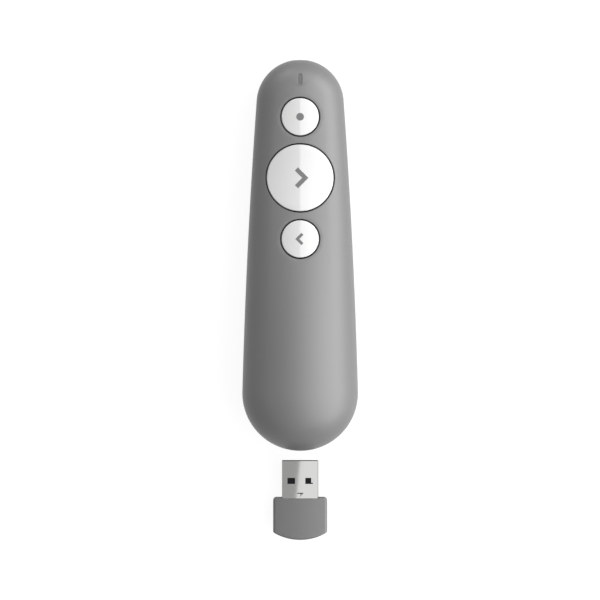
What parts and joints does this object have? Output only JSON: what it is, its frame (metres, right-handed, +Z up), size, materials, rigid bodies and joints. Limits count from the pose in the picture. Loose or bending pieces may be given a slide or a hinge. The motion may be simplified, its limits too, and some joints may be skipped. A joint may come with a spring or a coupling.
{
  "type": "presentation clicker",
  "caption": "Hand-held wireless presentation clicker with round press keys, a battery door underneath and a USB-A receiver that slides into a dock in its tail.",
  "frame": {"origin": "on the surface that the clicker lies on, under the middle of the clicker and receiver together", "axes": "+Y towards the nose, +X to the right seen from above with the nose away, +Z up"},
  "size_m": [0.0382, 0.1584, 0.0263],
  "materials": {
    "casing_grey": "fine soft-touch grain",
    "key_white": "satin",
    "mark_grey": "smooth",
    "black_plastic": "matte",
    "dark_window": "polished, deep red-black",
    "light_bar": "smoky clear",
    "board_green": "solder mask",
    "chip_black": "moulded epoxy",
    "ceramic_white": "ceramic",
    "steel": "brushed",
    "spring_metal": "nickel plated",
    "gold": "gold plated",
    "brass": "turned",
    "lens_glass": "polished",
    "cell_sleeve": "printed sleeve",
    "flex_amber": "polyimide"
  },
  "bodies": {
    "root": {"top_shell": "casing_grey", "bottom_shell": "casing_grey", "nose_window": "dark_window", "indicator_light_pipe": "light_bar", "case_screws": "steel", "board_screws": "steel", "main_board": "board_green", "radio_chip": "chip_black", "clock_crystal": "spring_metal", "chip_antenna": "ceramic_white", "status_led": "ceramic_white", "laser_barrel": "brass", "laser_lens": "lens_glass", "laser_diode": "spring_metal", "laser_flex": "flex_amber", "battery_left": "cell_sleeve", "battery_right": "cell_sleeve", "battery_cradle": "black_plastic", "battery_leaf_contacts": "spring_metal", "battery_bridge_contact": "spring_metal", "dock_sleeve": "black_plastic", "laser_switch": "chip_black", "next_switch": "chip_black", "back_switch": "chip_black"},
    "battery_door": {"battery_door": "casing_grey"},
    "receiver": {"receiver_cover": "casing_grey", "receiver_base": "casing_grey", "plug_shell": "steel", "plug_tongue": "black_plastic", "plug_contacts": "gold", "receiver_board": "board_green", "receiver_chip": "chip_black"},
    "laser_key": {"laser_key": "key_white", "laser_key_mark": "mark_grey", "laser_key_base": "black_plastic", "laser_switch_button": "ceramic_white"},
    "next_key": {"next_key": "key_white", "next_key_mark": "mark_grey", "next_key_base": "black_plastic", "next_switch_button": "ceramic_white"},
    "back_key": {"back_key": "key_white", "back_key_mark": "mark_grey", "back_key_base": "black_plastic", "back_switch_button": "ceramic_white"}
  },
  "joints": [
    {"name": "laser_key_press", "type": "slide", "parent": "root", "child": "laser_key", "axis": [0, 0, -1], "range_m": [0, 0.0006], "stiffness_N_per_m": 300, "springref_m": -0.002},
    {"name": "next_key_press", "type": "slide", "parent": "root", "child": "next_key", "axis": [0, 0, -1], "range_m": [0, 0.0006], "stiffness_N_per_m": 300, "springref_m": -0.002},
    {"name": "back_key_press", "type": "slide", "parent": "root", "child": "back_key", "axis": [0, 0, -1], "range_m": [0, 0.0006], "stiffness_N_per_m": 300, "springref_m": -0.002},
    {"name": "battery_door_hinge", "type": "hinge", "parent": "root", "child": "battery_door", "pos_m": [0, -0.01955, 0], "axis": [-1, 0, 0], "range_deg": [0, 65]},
    {"name": "receiver_dock", "type": "slide", "parent": "root", "child": "receiver", "axis": [0, 1, 0], "range_m": [0, 0.03035]}
  ]
}
